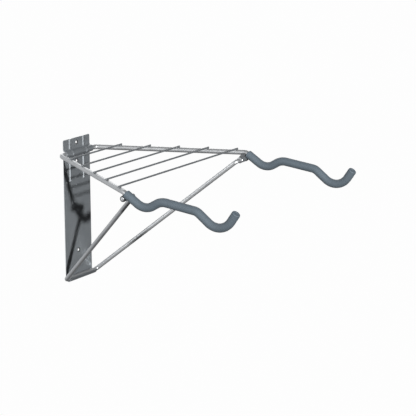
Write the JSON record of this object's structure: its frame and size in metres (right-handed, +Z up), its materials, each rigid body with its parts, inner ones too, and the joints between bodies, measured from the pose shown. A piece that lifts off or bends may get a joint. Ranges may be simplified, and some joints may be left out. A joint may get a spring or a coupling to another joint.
{
  "type": "wall hook rack",
  "caption": "Folding wall rack with padded hooks on bent arms, a wire shelf across them and a brace standing in a trough of its wall plate.",
  "frame": {"origin": "centre of the wall plate's back face, which lies on the wall", "axes": "+X along the wall to the right when facing it, +Y into the wall, +Z up; the arms reach out along -Y"},
  "size_m": [0.52, 0.6334, 0.35],
  "materials": {
    "plate_paint": "semi-gloss silver-grey paint",
    "bar_paint": "semi-gloss silver paint",
    "wire_paint": "semi-gloss silver paint",
    "bright_steel": "bright plated steel",
    "foam": "matte closed-cell foam, slate blue-grey"
  },
  "bodies": {
    "wall_frame": {"wall_plate": "plate_paint"},
    "arms": {"arm_bar": "bar_paint", "shelf_wire_1": "wire_paint", "shelf_wire_2": "wire_paint", "shelf_wire_3": "wire_paint", "shelf_wire_4": "wire_paint", "shelf_wire_5": "wire_paint", "pivot_lug_left": "bar_paint", "pivot_lug_right": "bar_paint", "pivot_sleeve_left": "bar_paint", "pivot_sleeve_right": "bar_paint", "foam_grip_left": "foam", "foam_grip_right": "foam", "grip_end_left": "foam", "grip_end_right": "foam"},
    "brace": {"brace_bar": "bar_paint", "thrust_washer_left": "bright_steel", "thrust_washer_right": "bright_steel", "end_cap_left": "bright_steel", "end_cap_right": "bright_steel"}
  },
  "joints": [
    {"name": "arms_fold", "type": "hinge", "parent": "wall_frame", "child": "arms", "pos_m": [0, -0.0062, 0.1405], "axis": [-1, 0, 0], "range_deg": [0, 80]},
    {"name": "brace_swing", "type": "hinge", "parent": "arms", "child": "brace", "pos_m": [0, -0.326, 0.11487], "axis": [-1, 0, 0], "range_deg": [-43, 0]}
  ],
  "couplings": [
    {"joint": "brace_swing", "follows": "arms_fold", "ratio": -0.528}
  ]
}
